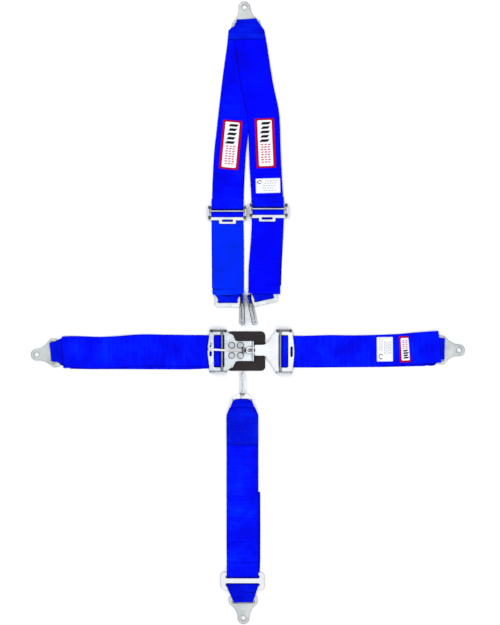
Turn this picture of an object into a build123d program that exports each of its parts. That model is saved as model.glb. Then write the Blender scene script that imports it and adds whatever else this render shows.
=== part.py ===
from build123d import *
import os
from math import sin, cos, radians

os.makedirs("parts", exist_ok=True)

# Webbing, in mm: 3 inch polyester, laid flat in layers
WEB = 76.2
WEB_T = 1.5
LAYER_A = 0.0
LAYER_B = 1.9
LAYER_C = 3.8

# Anchor brackets for a half inch bolt
BOLT_R = 6.5
NOSE_R = 13.5
BRACKET_T = 3.0
BRACKET_Z = 1.9
BRACKET_HALF = 34.0
BRACKET_END = 53.0
SLOT_U = 39.5
SLOT_WIDE = 6.5
SLOT_LONG = 55.0
NECK_WEB = 49.4

# Buckle halves
PLATE_T = 3.0
PLATE_Z = 4.0
FLANGE_TOP = 18.0
LATCH_Y = -91.8
LINK_Y = -92.4
TONGUE_Z = 7.3
PIVOT_X = -9.6
PIVOT_Z = 15.5
PIN_R = 2.0
BAR_R = 2.6
BAR_Z = 9.75

# Shoulder adjusters
ADJ_HALF = 45.5
ADJ_LONG = 17.4
ADJ_T = 2.5
ROD_R = 2.2

# End links on the shoulder and crotch straps
LEAN = 52.0
TONGUE_H = 19.0
LINK_T = 3.0


def ribbon(points, widths):
    """Face of a strap that follows a centreline, given each point's width."""
    left = []
    right = []
    for i, (x, y) in enumerate(points):
        ahead = points[min(i + 1, len(points) - 1)]
        behind = points[max(i - 1, 0)]
        along = Vector(ahead[0] - behind[0], ahead[1] - behind[1], 0).normalized()
        half = widths[i] / 2
        left.append((x - along.Y * half, y + along.X * half))
        right.append((x + along.Y * half, y - along.X * half))
    with BuildSketch() as face:
        with BuildLine():
            Spline(*left)
            Line(left[-1], right[-1])
            Spline(*reversed(right))
            Line(right[0], left[0])
        make_face()
    return face.sketch


def bracket_face():
    """Anchor bracket in plan, about its bolt's axis, with the webbing slot towards +x."""
    nose = (NOSE_R * cos(radians(86)), NOSE_R * sin(radians(86)))
    leaving = (sin(radians(86)), -cos(radians(86)))
    with BuildSketch() as face:
        with BuildLine():
            ThreePointArc((nose[0], -nose[1]), (-NOSE_R, 0), nose)
            Spline(nose, (36, BRACKET_HALF), tangents=(leaving, (0.62, 0.78)))
            Line((36, BRACKET_HALF), (BRACKET_END, BRACKET_HALF))
            Line((BRACKET_END, BRACKET_HALF), (BRACKET_END, -BRACKET_HALF))
            Line((BRACKET_END, -BRACKET_HALF), (36, -BRACKET_HALF))
            Spline((36, -BRACKET_HALF), (nose[0], -nose[1]), tangents=((-0.62, 0.78), (-leaving[0], -leaving[1])))
        make_face()
        fillet(face.vertices().filter_by_position(Axis.X, 52, 54), 6)
        fillet(face.vertices().filter_by_position(Axis.X, 35, 37), 4)
        with Locations((SLOT_U, 0)):
            SlotOverall(SLOT_LONG, SLOT_WIDE, rotation=90, mode=Mode.SUBTRACT)
    return face.sketch


def neck_face(slot_edge, bar_end, mouth, plate_z):
    """Side view of the narrow webbing that wraps a bar between a slot and a plate's end."""
    inner = slot_edge - 0.4
    over = plate_z + BRACKET_T + 0.4
    with BuildSketch() as face:
        with BuildLine():
            Polyline(
                (mouth, 0),
                (inner - WEB_T, 0),
                (inner - WEB_T, over + WEB_T),
                (bar_end + 0.8, over + WEB_T),
                (mouth, LAYER_B + WEB_T),
                (mouth, LAYER_B),
                (bar_end + 0.6, over),
                (inner, over),
                (inner, LAYER_A + WEB_T),
                (mouth, LAYER_A + WEB_T),
                close=True,
            )
        make_face()
    return face.sketch


def plan(x, y, z, turn=0.0):
    """Workplane lying flat at a height, turned about +Z by a number of degrees."""
    return Plane(origin=(x, y, z), x_dir=(cos(radians(turn)), sin(radians(turn)), 0))


def side(x, y, turn):
    """Upright workplane along a flat direction, with its own y axis pointing up."""
    a = radians(turn)
    return Plane(origin=(x, y, 0), x_dir=(cos(a), sin(a), 0), z_dir=(sin(a), -cos(a), 0))


# Bolt hole of each bracket and the way its webbing leaves, in degrees about +Z
LEFT_BOLT = (-506.6, -100.6, 6.0)
RIGHT_BOLT = (506.6, -90.2, 178.6)
TOP_BOLT = (-8.4, 732.4, -84.0)
BOTTOM_BOLT = (-10.6, -732.4, 91.0)
NECK_MOUTH = 57.0

with BuildPart() as left_lap_bracket:
    with BuildSketch(plan(LEFT_BOLT[0], LEFT_BOLT[1], BRACKET_Z, LEFT_BOLT[2])):
        add(bracket_face())
    extrude(amount=BRACKET_T)
    fillet(left_lap_bracket.edges().filter_by(Axis.Z, reverse=True), 0.6)
    with BuildSketch(plan(LEFT_BOLT[0], LEFT_BOLT[1], BRACKET_Z)):
        Circle(BOLT_R)
    extrude(amount=BRACKET_T, mode=Mode.SUBTRACT)

with BuildPart() as right_lap_bracket:
    with BuildSketch(plan(RIGHT_BOLT[0], RIGHT_BOLT[1], BRACKET_Z, RIGHT_BOLT[2])):
        add(bracket_face())
    extrude(amount=BRACKET_T)
    fillet(right_lap_bracket.edges().filter_by(Axis.Z, reverse=True), 0.6)
    with BuildSketch(plan(RIGHT_BOLT[0], RIGHT_BOLT[1], BRACKET_Z)):
        Circle(BOLT_R)
    extrude(amount=BRACKET_T, mode=Mode.SUBTRACT)

with BuildPart() as shoulder_bracket:
    with BuildSketch(plan(TOP_BOLT[0], TOP_BOLT[1], BRACKET_Z, TOP_BOLT[2])):
        add(bracket_face())
    extrude(amount=BRACKET_T)
    fillet(shoulder_bracket.edges().filter_by(Axis.Z, reverse=True), 0.6)
    with BuildSketch(plan(TOP_BOLT[0], TOP_BOLT[1], BRACKET_Z)):
        Circle(BOLT_R)
    extrude(amount=BRACKET_T, mode=Mode.SUBTRACT)

with BuildPart() as sub_bracket:
    with BuildSketch(plan(BOTTOM_BOLT[0], BOTTOM_BOLT[1], BRACKET_Z, BOTTOM_BOLT[2])):
        add(bracket_face())
    extrude(amount=BRACKET_T)
    fillet(sub_bracket.edges().filter_by(Axis.Z, reverse=True), 0.6)
    with BuildSketch(plan(BOTTOM_BOLT[0], BOTTOM_BOLT[1], BRACKET_Z)):
        Circle(BOLT_R)
    extrude(amount=BRACKET_T, mode=Mode.SUBTRACT)

with BuildPart() as left_lap_neck:
    with BuildSketch(side(*LEFT_BOLT)):
        add(neck_face(42.75, BRACKET_END, NECK_MOUTH, BRACKET_Z))
    extrude(amount=NECK_WEB / 2, both=True)

with BuildPart() as right_lap_neck:
    with BuildSketch(side(*RIGHT_BOLT)):
        add(neck_face(42.75, BRACKET_END, NECK_MOUTH, BRACKET_Z))
    extrude(amount=NECK_WEB / 2, both=True)

with BuildPart() as shoulder_neck:
    with BuildSketch(side(*TOP_BOLT)):
        add(neck_face(42.75, BRACKET_END, NECK_MOUTH, BRACKET_Z))
    extrude(amount=NECK_WEB / 2, both=True)

with BuildPart() as sub_neck:
    with BuildSketch(side(*BOTTOM_BOLT)):
        add(neck_face(42.75, BRACKET_END, NECK_MOUTH, BRACKET_Z))
    extrude(amount=NECK_WEB / 2, both=True)

# Lap straps: the anchor side lies below, the free tail on top of it
LEFT_LAP = [(-443.4, -95.5), (-380, -96.5), (-300, -96.2), (-200, -96.8), (-130, -97), (-65, -94)]
LEFT_TAIL = [(-442.4, -92), (-400, -90.8), (-300, -89.6), (-250, -89.2), (-200, -89.8), (-140, -91.5), (-65, -92)]
RIGHT_LAP = [(445.4, -88.5), (400, -89.2), (330, -91), (240, -91.6), (160, -92.6), (84, -93)]
RIGHT_TAIL = [(444.2, -81.4), (405, -83.8), (350, -87.8), (300, -90), (200, -90.4), (140, -91.8), (84, -92.6)]

with BuildPart() as left_lap_strap:
    with BuildSketch(Plane.XY.offset(LAYER_A)):
        add(ribbon(LEFT_LAP, [WEB] * len(LEFT_LAP)))
    extrude(amount=WEB_T)

with BuildPart() as left_lap_tail:
    with BuildSketch(Plane.XY.offset(LAYER_B)):
        add(ribbon(LEFT_TAIL, [WEB] * len(LEFT_TAIL)))
    extrude(amount=WEB_T)

with BuildPart() as right_lap_strap:
    with BuildSketch(Plane.XY.offset(LAYER_A)):
        add(ribbon(RIGHT_LAP, [WEB] * len(RIGHT_LAP)))
    extrude(amount=WEB_T)

with BuildPart() as right_lap_tail:
    with BuildSketch(Plane.XY.offset(LAYER_B)):
        add(ribbon(RIGHT_TAIL, [WEB] * len(RIGHT_TAIL)))
    extrude(amount=WEB_T)

# Sewn labels lie on the webbing
LABEL_T = 0.8

with BuildPart() as lap_tag:
    with BuildSketch(plan(328.3, -87.6, LAYER_B + WEB_T, 0.5)):
        Rectangle(38.5, 58.5)
    extrude(amount=LABEL_T)

with BuildPart() as lap_patch:
    with BuildSketch(plan(377.0, -87.4, LAYER_B + WEB_T, 3.0)):
        Rectangle(27.5, 63.0)
    extrude(amount=LABEL_T)

# Shoulder straps: two lengths sewn together at the top, each running on as its free tail
LEFT_SHOULDER = [
    (-7.6, 666), (-11.8, 640), (-21.8, 577.7), (-31.4, 500.9), (-40, 430), (-45.4, 385.7),
    (-47.8, 328.1), (-49, 270.5), (-49, 155.3), (-47.8, 55.5),
]
RIGHT_SHOULDER = [
    (3.2, 666), (8.2, 635.3), (20.2, 558.5), (27.4, 520.1), (34.6, 481.7), (38.6, 443.3),
    (41, 404.9), (43.4, 347.3), (45.8, 308.9), (48, 251.3), (46.6, 200), (42.2, 136.1), (39, 65.5),
]

with BuildPart() as left_shoulder_strap:
    with BuildSketch(Plane.XY.offset(LAYER_B)):
        add(ribbon(LEFT_SHOULDER, [WEB] * len(LEFT_SHOULDER)))
    extrude(amount=WEB_T)

with BuildPart() as right_shoulder_strap:
    with BuildSketch(Plane.XY.offset(LAYER_C)):
        add(ribbon(RIGHT_SHOULDER, [WEB] * len(RIGHT_SHOULDER)))
    extrude(amount=WEB_T)

with BuildPart() as left_shoulder_patch:
    with BuildSketch(plan(-41.4, 402.5, LAYER_B + WEB_T, -5.3)):
        Rectangle(47.0, 118.0)
    extrude(amount=LABEL_T)

with BuildPart() as right_shoulder_patch:
    with BuildSketch(plan(41.6, 406.4, LAYER_C + WEB_T, 2.4)):
        Rectangle(47.0, 119.0)
    extrude(amount=LABEL_T)

with BuildPart() as shoulder_tag:
    with BuildSketch(plan(48.2, 304.4, LAYER_C + WEB_T, 1.5)):
        Rectangle(58.5, 35.0)
    extrude(amount=LABEL_T)

# Short lower sections between each shoulder adjuster and its end link
LEFT_LOWER = [(-48.2, 55.5), (-48.8, 120), (-49.2, 180), (-49.4, 226)]
RIGHT_LOWER = [(41.8, 62), (43.4, 120), (46.4, 180), (48.2, 231)]

with BuildPart() as left_lower_strap:
    with BuildSketch(Plane.XY.offset(LAYER_A)):
        add(ribbon(LEFT_LOWER, [WEB] * len(LEFT_LOWER)))
    extrude(amount=WEB_T)

with BuildPart() as right_lower_strap:
    with BuildSketch(Plane.XY.offset(LAYER_A)):
        add(ribbon(RIGHT_LOWER, [WEB] * len(RIGHT_LOWER)))
    extrude(amount=WEB_T)


def adjuster_face(tab_left, tab_right):
    """Flat part of a shoulder adjuster in plan: cross bar, side lands and pull tab."""
    with BuildSketch() as face:
        with BuildLine():
            Polyline(
                (-ADJ_HALF, ADJ_LONG),
                (-ADJ_HALF, -ADJ_LONG),
                (tab_left, -ADJ_LONG),
                (tab_left, -25.8),
                (tab_right, -25.8),
                (tab_right, -ADJ_LONG),
                (ADJ_HALF, -ADJ_LONG),
                (ADJ_HALF, ADJ_LONG),
                (38.8, ADJ_LONG),
                (38.8, -9.8),
                (-38.8, -9.8),
                (-38.8, ADJ_LONG),
                close=True,
            )
        make_face()
        corners = face.vertices()
        fillet(corners.filter_by_position(Axis.Y, -26, -25), 3)
        fillet(corners.filter_by_position(Axis.X, 38, 39).filter_by_position(Axis.Y, -10, -9), 3)
        fillet(corners.filter_by_position(Axis.X, -39, -38).filter_by_position(Axis.Y, -10, -9), 3)
        with Locations(((tab_left + tab_right) / 2, -18.2)):
            SlotOverall(26.5, 5.2, mode=Mode.SUBTRACT)
    return face.sketch


def flange_face(low, rod_z):
    """Upturned side of a shoulder adjuster, seen from the side, with the rod's slot."""
    with BuildSketch() as face:
        with Locations((0, low + 5.5)):
            RectangleRounded(2 * ADJ_LONG, 11.0, 3.0)
        with Locations((6.2, rod_z)):
            SlotOverall(8.0, 2 * ROD_R + 0.5, mode=Mode.SUBTRACT)
    return face.sketch


LEFT_ADJ = (-49.6, 238.7, LAYER_B + WEB_T + 0.4)
RIGHT_ADJ = (49.6, 244.1, LAYER_C + WEB_T + 0.4)
ROD_UP = ADJ_T + ROD_R + 0.15

with BuildPart() as left_adjuster:
    with BuildSketch(plan(LEFT_ADJ[0], LEFT_ADJ[1], LEFT_ADJ[2])):
        add(adjuster_face(-19.8, 21.0))
    extrude(amount=ADJ_T)
    fillet(left_adjuster.edges().filter_by(Axis.Z, reverse=True), 0.5)
    for end in (-ADJ_HALF, ADJ_HALF - 3.0):
        with BuildSketch(Plane(origin=(LEFT_ADJ[0] + end, LEFT_ADJ[1], 0), x_dir=(0, 1, 0), z_dir=(1, 0, 0))):
            add(flange_face(LEFT_ADJ[2], LEFT_ADJ[2] + ROD_UP))
        extrude(amount=3.0)

with BuildPart() as right_adjuster:
    with BuildSketch(plan(RIGHT_ADJ[0], RIGHT_ADJ[1], RIGHT_ADJ[2])):
        add(adjuster_face(-23.4, 16.6))
    extrude(amount=ADJ_T)
    fillet(right_adjuster.edges().filter_by(Axis.Z, reverse=True), 0.5)
    for end in (-ADJ_HALF, ADJ_HALF - 3.0):
        with BuildSketch(Plane(origin=(RIGHT_ADJ[0] + end, RIGHT_ADJ[1], 0), x_dir=(0, 1, 0), z_dir=(1, 0, 0))):
            add(flange_face(RIGHT_ADJ[2], RIGHT_ADJ[2] + ROD_UP))
        extrude(amount=3.0)

with BuildPart() as left_adjuster_rod:
    with BuildSketch(Plane(origin=(LEFT_ADJ[0], LEFT_ADJ[1] + 4.7, LEFT_ADJ[2] + ROD_UP), z_dir=(1, 0, 0))):
        Circle(ROD_R)
    extrude(amount=ADJ_HALF - 0.4, both=True)

with BuildPart() as right_adjuster_rod:
    with BuildSketch(Plane(origin=(RIGHT_ADJ[0], RIGHT_ADJ[1] + 4.7, RIGHT_ADJ[2] + ROD_UP), z_dir=(1, 0, 0))):
        Circle(ROD_R)
    extrude(amount=ADJ_HALF - 0.4, both=True)


def link_flat_face(inner):
    """Flat loop of an end link in plan; inner is +1 or -1, the side its tongue stands on."""
    with BuildSketch() as face:
        with Locations((0, 9.6)):
            RectangleRounded(63.2, 28.8, 5.0)
        with Locations((inner * 24.1, 9.6)):
            Rectangle(15.0, 28.8)
        with Locations((0, 8.2)):
            SlotOverall(50.0, 6.4, mode=Mode.SUBTRACT)
    return face.sketch


def link_tongue_face():
    """Folded-up tongue of an end link: x runs towards the buckle, y up the plate."""
    with BuildSketch() as face:
        with Locations((10.8, TONGUE_H / 2)):
            RectangleRounded(74.4, TONGUE_H, 6.0)
        with Locations((-12.5, 2.5)):
            Rectangle(27.8, 5.0)
        with Locations((-11.5, 0)):
            SlotOverall(18.0, 7.0, mode=Mode.SUBTRACT)
        with Locations((15.6, TONGUE_H / 2 + 0.6)):
            SlotOverall(38.0, 8.0, mode=Mode.SUBTRACT)
        with Locations((40.6, TONGUE_H / 2 + 0.6)):
            Circle(2.2, mode=Mode.SUBTRACT)
    return face.sketch


def link_tongue_plane(x, y, turn, inner, root_z):
    """Workplane of a tongue: it leans outwards from the fold line of the flat loop."""
    a = radians(turn)
    across = Vector(cos(a), sin(a), 0) * inner
    toward = Vector(sin(a), -cos(a), 0)
    up = across * cos(radians(LEAN)) + Vector(0, 0, sin(radians(LEAN)))
    root = Vector(x, y, root_z) + across * 29.6
    return Plane(origin=root, x_dir=toward, z_dir=toward.cross(up))


LEFT_LINK = (-48.1, 18.5, 0.0)
RIGHT_LINK = (40.6, 25.1, 12.5)
LINK_Z = 1.9

with BuildPart() as left_shoulder_link:
    with BuildSketch(plan(LEFT_LINK[0], LEFT_LINK[1], LINK_Z, LEFT_LINK[2])):
        add(link_flat_face(1))
    extrude(amount=LINK_T)
    with BuildSketch(link_tongue_plane(*LEFT_LINK, 1, LINK_Z)):
        add(link_tongue_face())
    extrude(amount=LINK_T)

with BuildPart() as right_shoulder_link:
    with BuildSketch(plan(RIGHT_LINK[0], RIGHT_LINK[1], LINK_Z, RIGHT_LINK[2])):
        add(link_flat_face(-1))
    extrude(amount=LINK_T)
    with BuildSketch(link_tongue_plane(*RIGHT_LINK, -1, LINK_Z)):
        add(link_tongue_face())
    extrude(amount=-LINK_T)

with BuildPart() as left_link_neck:
    with BuildSketch(side(LEFT_LINK[0], LEFT_LINK[1], 90)):
        add(neck_face(11.4, 24.0, 31.0, LINK_Z))
    extrude(amount=22.0, both=True)

with BuildPart() as right_link_neck:
    with BuildSketch(side(RIGHT_LINK[0], RIGHT_LINK[1], 102.5)):
        add(neck_face(11.4, 24.0, 27.5, LINK_Z))
    extrude(amount=22.0, both=True)

# Crotch strap: link at the buckle end, three-bar slide and bracket at the other
SUB_STRAP = [(-13.4, -251.4), (-13.2, -320), (-13.2, -430), (-13.2, -560), (-12.4, -620), (-11.5, -667)]
SUB_TAIL = [(-8.6, -430), (-8.0, -520), (-8.4, -600), (-10.0, -664)]

with BuildPart() as sub_strap:
    with BuildSketch(Plane.XY.offset(LAYER_B)):
        add(ribbon(SUB_STRAP, [WEB] * len(SUB_STRAP)))
    extrude(amount=WEB_T)

with BuildPart() as sub_tail:
    with BuildSketch(Plane.XY.offset(LAYER_A)):
        add(ribbon(SUB_TAIL, [WEB] * len(SUB_TAIL)))
    extrude(amount=WEB_T)

SUB_LINK = (-13.2, -203.0)


def sub_link_face():
    """Flat part of the crotch link in plan: webbing slot, tapering towards the tongue."""
    with BuildSketch() as face:
        with BuildLine():
            Polyline(
                (-28.0, -20.0),
                (28.0, -20.0),
                (28.0, -2.0),
                (9.5, 9.0),
                (5.0, 18.0),
                (-2.0, 18.0),
                (-7.0, 9.0),
                (-28.0, -2.0),
                close=True,
            )
        make_face()
        corners = face.vertices()
        fillet(corners.filter_by_position(Axis.Y, -21, -19), 5)
        fillet(corners.filter_by_position(Axis.Y, -3, -1), 5)
        fillet(corners.filter_by_position(Axis.Y, 8, 10), 6)
        with Locations((0, -6.2)):
            SlotOverall(49.0, 6.4, mode=Mode.SUBTRACT)
    return face.sketch


def sub_tongue_face():
    """Upright tongue of the crotch link: x runs towards the buckle, y up the plate."""
    with BuildSketch() as face:
        with Locations((33.0, TONGUE_H / 2)):
            RectangleRounded(58.0, TONGUE_H, 6.0)
        with Locations((8.0, 2.5)):
            Rectangle(16.0, 5.0)
        with Locations((32.0, TONGUE_H / 2)):
            SlotOverall(38.0, 8.0, mode=Mode.SUBTRACT)
        with Locations((55.8, TONGUE_H / 2)):
            Circle(2.2, mode=Mode.SUBTRACT)
    return face.sketch


SUB_LEAN = 62.0

with BuildPart() as sub_link:
    with BuildSketch(plan(SUB_LINK[0], SUB_LINK[1], LINK_Z)):
        add(sub_link_face())
    extrude(amount=LINK_T)
    lean = Vector(cos(radians(SUB_LEAN)), 0, sin(radians(SUB_LEAN)))
    with BuildSketch(Plane(origin=(-17.0, SUB_LINK[1], LINK_Z), x_dir=(0, 1, 0), z_dir=Vector(0, 1, 0).cross(lean))):
        add(sub_tongue_face())
    extrude(amount=-LINK_T)

with BuildPart() as sub_link_neck:
    with BuildSketch(side(SUB_LINK[0], SUB_LINK[1], -90)):
        add(neck_face(9.4, 20.0, 42.5, LINK_Z))
    extrude(amount=21.5, both=True)

with BuildPart() as sub_adjuster:
    with BuildSketch(plan(-13.0, -643.2, LAYER_B + WEB_T + 0.4)):
        RectangleRounded(104.0, 42.4, 9.0)
        with Locations((0, 10.6), (0, -8.8)):
            SlotOverall(82.0, 7.4, mode=Mode.SUBTRACT)
    extrude(amount=3.0)
    fillet(sub_adjuster.edges().filter_by(Axis.Z, reverse=True), 0.9)

# Buckle, latch half: base plate with strap window, side flanges, upright lip and lever ears


def latch_plan():
    """Latch base in plan, about the buckle's centre line."""
    with BuildSketch() as face:
        with BuildLine():
            Spline((-92.0, 51.6), (-93.6, 30), (-96.7, 0), (-93.6, -30), (-92.0, -51.6))
            Polyline(
                (-92.0, -51.6),
                (-50.6, -51.6),
                (-50.6, -46.4),
                (-43.7, -42.4),
                (-35.5, -38.6),
                (-32.6, -32.0),
                (-29.6, -25.8),
                (-24.0, -24.0),
                (14.2, -24.0),
                (14.2, 24.0),
                (-24.0, 24.0),
                (-29.6, 25.8),
                (-32.6, 32.0),
                (-35.5, 38.6),
                (-43.7, 42.4),
                (-50.6, 46.4),
                (-50.6, 51.6),
                (-92.0, 51.6),
            )
        make_face()
        with Locations((-69.2, 0)):
            RectangleRounded(25.2, 78.0, 3.0, mode=Mode.SUBTRACT)
        with Locations((-89.4, -6.4)):
            SlotOverall(12.0, 5.4, rotation=90, mode=Mode.SUBTRACT)
        with Locations((-89.6, 11.5)):
            Circle(2.0, mode=Mode.SUBTRACT)
    return face.sketch


def frame_flange(length, slot_at, corner):
    """Upturned flange of a buckle half seen from the side, with its locking-bar slot."""
    with BuildSketch() as face:
        with Locations((0, (PLATE_Z + FLANGE_TOP) / 2)):
            RectangleRounded(length, FLANGE_TOP - PLATE_Z, corner)
        with Locations((0, PLATE_Z + PLATE_T / 2)):
            Rectangle(length, PLATE_T)
        with Locations((slot_at, BAR_Z)):
            SlotOverall(11.0, 5.6, mode=Mode.SUBTRACT)
    return face.sketch


RIVETS = [(-38.8, 12.2), (-17.8, 12.2), (-38.8, -12.2), (-17.8, -12.2)]
RIVET_Y = -90.2

with BuildPart() as latch_base:
    with BuildSketch(plan(0, LATCH_Y, PLATE_Z)):
        add(latch_plan())
    extrude(amount=PLATE_T)
    with BuildSketch(Plane(origin=(-70.8, LATCH_Y + 51.6, 0), x_dir=(1, 0, 0), z_dir=(0, -1, 0))):
        add(frame_flange(40.4, 8.6, 4.0))
    extrude(amount=3.0)
    with BuildSketch(Plane(origin=(-70.8, LATCH_Y - 51.6, 0), x_dir=(1, 0, 0), z_dir=(0, -1, 0))):
        add(frame_flange(40.4, 8.6, 4.0))
    extrude(amount=-3.0)
    with BuildSketch(Plane(origin=(14.2, LATCH_Y, 0), x_dir=(0, 1, 0), z_dir=(1, 0, 0))):
        with Locations((0, 10.6)):
            Rectangle(48.0, 13.2)
        with Locations((1.6, 8.95)):
            Rectangle(17.6, 3.9, mode=Mode.SUBTRACT)
    extrude(amount=-3.4)
    for ear in (-5.4, 3.0):
        with BuildSketch(Plane(origin=(PIVOT_X, RIVET_Y + ear, 0), x_dir=(1, 0, 0), z_dir=(0, -1, 0))):
            with Locations((0, 11.0)):
                Rectangle(6.8, 8.2)
            with Locations((0, PIVOT_Z)):
                RectangleRounded(6.8, 8.0, 3.2)
            with Locations((0, PIVOT_Z)):
                Circle(PIN_R + 0.02, mode=Mode.SUBTRACT)
        extrude(amount=-2.4)
    with BuildSketch(plan(0, RIVET_Y, PLATE_Z)):
        with Locations(*RIVETS):
            Circle(3.02)
    extrude(amount=PLATE_T, mode=Mode.SUBTRACT)

with BuildPart() as latch_rivets:
    with BuildSketch(plan(0, RIVET_Y, PLATE_Z)):
        with Locations(*RIVETS):
            Circle(3.0)
    extrude(amount=PLATE_T)
    with BuildSketch(plan(0, RIVET_Y, PLATE_Z + PLATE_T)):
        with Locations(*RIVETS):
            Circle(8.0)
    extrude(amount=3.4)
    fillet(latch_rivets.edges().group_by(Axis.Z)[-1], 2.9)

with BuildPart() as lever_pin:
    with BuildSketch(Plane(origin=(PIVOT_X, RIVET_Y, PIVOT_Z), z_dir=(0, 1, 0))):
        Circle(PIN_R)
    extrude(amount=5.6, both=True)
    for face_y in (5.6, -5.6):
        with BuildSketch(Plane(origin=(PIVOT_X, RIVET_Y + face_y, PIVOT_Z), z_dir=(0, 1, 0))):
            Circle(PIN_R + 1.0)
        extrude(amount=1.0 if face_y > 0 else -1.0)

LEVER_HALF = 2.5

with BuildPart() as latch_lever:
    with BuildSketch(Plane(origin=(0, RIVET_Y, 0), x_dir=(1, 0, 0), z_dir=(0, -1, 0))):
        with BuildLine():
            Polyline((PIVOT_X, 19.9), (-16, 19.0), (-28, 18.2), (-88, 17.6), (-95, 15.6))
            Polyline((-95, 15.6), (-97.2, 12.0), (-97.2, 8.2), (-94.4, 7.4), (-88, 12.8))
            Polyline((-88, 12.8), (-20, 12.8), (-15.4, 12.2), (PIVOT_X, 11.1))
            ThreePointArc((PIVOT_X, 11.1), (PIVOT_X + 4.4, PIVOT_Z), (PIVOT_X, 19.9))
        make_face()
        with Locations((PIVOT_X, PIVOT_Z)):
            Circle(PIN_R + 0.05, mode=Mode.SUBTRACT)
    extrude(amount=8.0, both=True)
    with BuildSketch(Plane.XY):
        with BuildLine():
            Polyline(
                (PIVOT_X + 5, RIVET_Y - LEVER_HALF),
                (PIVOT_X + 5, RIVET_Y + LEVER_HALF),
                (-44, RIVET_Y + LEVER_HALF),
                (-98, -84.6),
                (-98, -89.6),
                (-44, RIVET_Y - LEVER_HALF),
                close=True,
            )
        make_face()
    extrude(amount=30, mode=Mode.INTERSECT)
    fillet(latch_lever.edges().filter_by_position(Axis.X, -97.5, -96.9), 1.0)

with BuildPart() as buckle_pad:
    with BuildSketch(Plane.XY):
        with Locations((-4.1, -92.0)):
            RectangleRounded(91.2, 94.8, 10.0)
    extrude(amount=3.8)
    fillet(buckle_pad.edges().group_by(Axis.Z)[-1], 1.0)

# Locking bars float in slots through the flanges
with BuildPart() as left_lap_bar:
    with BuildSketch(Plane(origin=(-62.2, LATCH_Y, BAR_Z), z_dir=(0, 1, 0))):
        Circle(BAR_R)
    extrude(amount=50.9, both=True)

with BuildPart() as right_lap_bar:
    with BuildSketch(Plane(origin=(77.6, LINK_Y, BAR_Z), z_dir=(0, 1, 0))):
        Circle(BAR_R)
    extrude(amount=52.0, both=True)


def link_plan():
    """Link half in plan: strap window, flared neck and tongue with its long eye."""
    with BuildSketch() as face:
        with BuildLine():
            Spline((106.0, -53.0), (108.6, -30), (111.1, 0), (108.6, 30), (106.0, 53.0))
            Polyline((106.0, 53.0), (68.0, 53.0), (67.2, 48.0), (44.0, 18.4), (38.0, 15.8), (17.5, 15.8), (15.2, 13.4))
            Polyline((15.2, 13.4), (15.2, 10.8), (3.4, 10.8))
            ThreePointArc((3.4, 10.8), (-4.8, 2.6), (3.4, -5.6))
            Polyline((3.4, -5.6), (15.2, -5.6), (15.2, -8.2), (17.5, -10.6), (38.0, -10.6), (44.0, -13.2))
            Polyline((44.0, -13.2), (65.4, -48.0), (66.0, -53.0), (106.0, -53.0))
        make_face()
        with Locations((85.3, 0)):
            RectangleRounded(22.4, 78.0, 3.0, mode=Mode.SUBTRACT)
        with Locations((104.6, -1.0)):
            SlotOverall(25.0, 5.4, rotation=90, mode=Mode.SUBTRACT)
        with Locations((8.2, 2.6)):
            SlotOverall(18.0, 8.0, mode=Mode.SUBTRACT)
    return face.sketch


with BuildPart() as lap_link:
    with BuildSketch(plan(0, LINK_Y, 0)):
        add(link_plan())
    extrude(amount=24)
    with BuildSketch(Plane(origin=(0, LINK_Y, 0), x_dir=(1, 0, 0), z_dir=(0, -1, 0))):
        with BuildLine():
            Polyline(
                (-10, TONGUE_Z),
                (45, TONGUE_Z),
                (53, PLATE_Z),
                (114, PLATE_Z),
                (114, PLATE_Z + PLATE_T),
                (54, PLATE_Z + PLATE_T),
                (46, TONGUE_Z + PLATE_T),
                (-10, TONGUE_Z + PLATE_T),
                close=True,
            )
        make_face()
    extrude(amount=60, both=True, mode=Mode.INTERSECT)
    with BuildSketch(Plane(origin=(86.5, LINK_Y + 53.0, 0), x_dir=(1, 0, 0), z_dir=(0, -1, 0))):
        add(frame_flange(39.0, -8.9, 4.0))
    extrude(amount=3.0)
    with BuildSketch(Plane(origin=(86.5, LINK_Y - 53.0, 0), x_dir=(1, 0, 0), z_dir=(0, -1, 0))):
        add(frame_flange(39.0, -8.9, 4.0))
    extrude(amount=-3.0)

PIECES = {
    "left_lap_bracket": left_lap_bracket,
    "right_lap_bracket": right_lap_bracket,
    "shoulder_bracket": shoulder_bracket,
    "sub_bracket": sub_bracket,
    "left_lap_neck": left_lap_neck,
    "right_lap_neck": right_lap_neck,
    "shoulder_neck": shoulder_neck,
    "sub_neck": sub_neck,
    "left_lap_strap": left_lap_strap,
    "left_lap_tail": left_lap_tail,
    "right_lap_strap": right_lap_strap,
    "right_lap_tail": right_lap_tail,
    "lap_tag": lap_tag,
    "lap_patch": lap_patch,
    "left_shoulder_strap": left_shoulder_strap,
    "right_shoulder_strap": right_shoulder_strap,
    "left_shoulder_patch": left_shoulder_patch,
    "right_shoulder_patch": right_shoulder_patch,
    "shoulder_tag": shoulder_tag,
    "left_lower_strap": left_lower_strap,
    "right_lower_strap": right_lower_strap,
    "left_adjuster": left_adjuster,
    "right_adjuster": right_adjuster,
    "left_adjuster_rod": left_adjuster_rod,
    "right_adjuster_rod": right_adjuster_rod,
    "left_shoulder_link": left_shoulder_link,
    "right_shoulder_link": right_shoulder_link,
    "left_link_neck": left_link_neck,
    "right_link_neck": right_link_neck,
    "sub_strap": sub_strap,
    "sub_tail": sub_tail,
    "sub_link": sub_link,
    "sub_link_neck": sub_link_neck,
    "sub_adjuster": sub_adjuster,
    "latch_base": latch_base,
    "latch_rivets": latch_rivets,
    "lever_pin": lever_pin,
    "latch_lever": latch_lever,
    "buckle_pad": buckle_pad,
    "left_lap_bar": left_lap_bar,
    "right_lap_bar": right_lap_bar,
    "lap_link": lap_link,
}

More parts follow.
